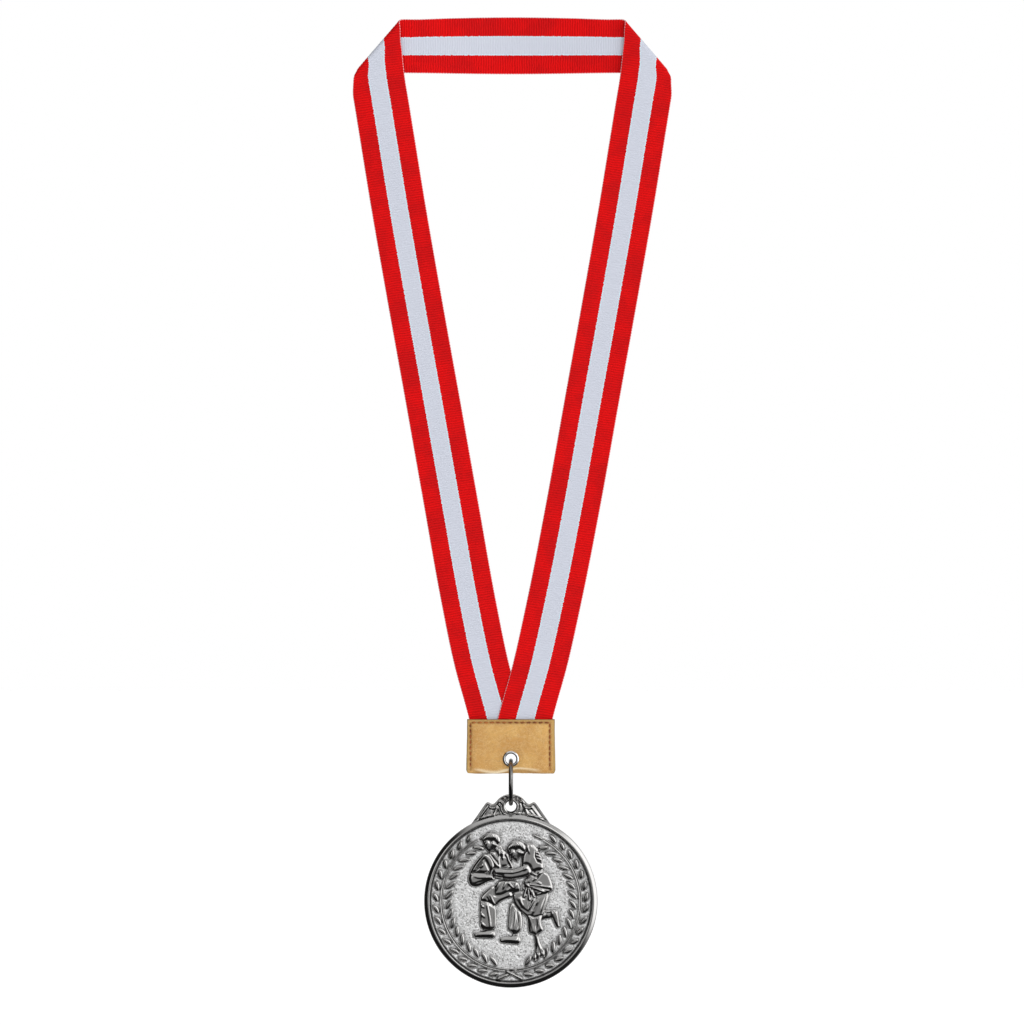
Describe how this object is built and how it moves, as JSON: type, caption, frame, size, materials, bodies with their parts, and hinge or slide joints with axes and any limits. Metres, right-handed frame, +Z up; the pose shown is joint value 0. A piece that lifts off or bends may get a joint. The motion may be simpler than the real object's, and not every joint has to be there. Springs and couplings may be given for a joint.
{
  "type": "sports medal on neck ribbon",
  "caption": "Round cast metal medal with wreath and wrestling figures, hung by a jump ring from a stitched leather tab on a striped neck ribbon.",
  "frame": {"origin": "middle of the neck run, the stretch of ribbon that lies round the wearer's neck, at the plane where the two legs meet", "axes": "+Z up along the hanging medal, +X to the right seen from the front, the medal's face looks along -Y"},
  "size_m": [0.1307, 0.0192, 0.3918],
  "materials": {
    "ribbon": "matt ribbed grosgrain, red with a bluish white centre stripe",
    "tab_leather": "tan grained leather with darker edges",
    "thread": "brown waxed sewing thread",
    "eyelet_metal": "bright nickel plate",
    "ring_wire": "dark polished nickel",
    "medal_metal": "antique nickel plate, polished relief on a bright stippled field"
  },
  "bodies": {
    "ribbon": {"ribbon_neck_run": "ribbon", "ribbon_fold_left": "ribbon", "ribbon_fold_right": "ribbon", "ribbon_leg_left": "ribbon", "ribbon_leg_right": "ribbon"},
    "tab": {"ribbon_end_left": "ribbon", "ribbon_end_right": "ribbon", "tab_leather": "tab_leather", "thread_front": "thread", "thread_back": "thread", "eyelet": "eyelet_metal", "eyelet_washer": "eyelet_metal"},
    "ring": {"jump_ring": "ring_wire"},
    "medal": {"medal": "medal_metal"}
  },
  "joints": [
    {"name": "tab_swing", "type": "hinge", "parent": "ribbon", "child": "tab", "pos_m": [0, 0, -0.2707], "axis": [1, 0, 0], "range_deg": [-75, 75]},
    {"name": "ring_sway", "type": "hinge", "parent": "tab", "child": "ring", "pos_m": [0, 0, -0.2877], "axis": [0, 1, 0], "range_deg": [-40, 40]},
    {"name": "medal_swing", "type": "hinge", "parent": "ring", "child": "medal", "pos_m": [0, 0, -0.2971], "axis": [1, 0, 0], "range_deg": [-90, 90]}
  ]
}
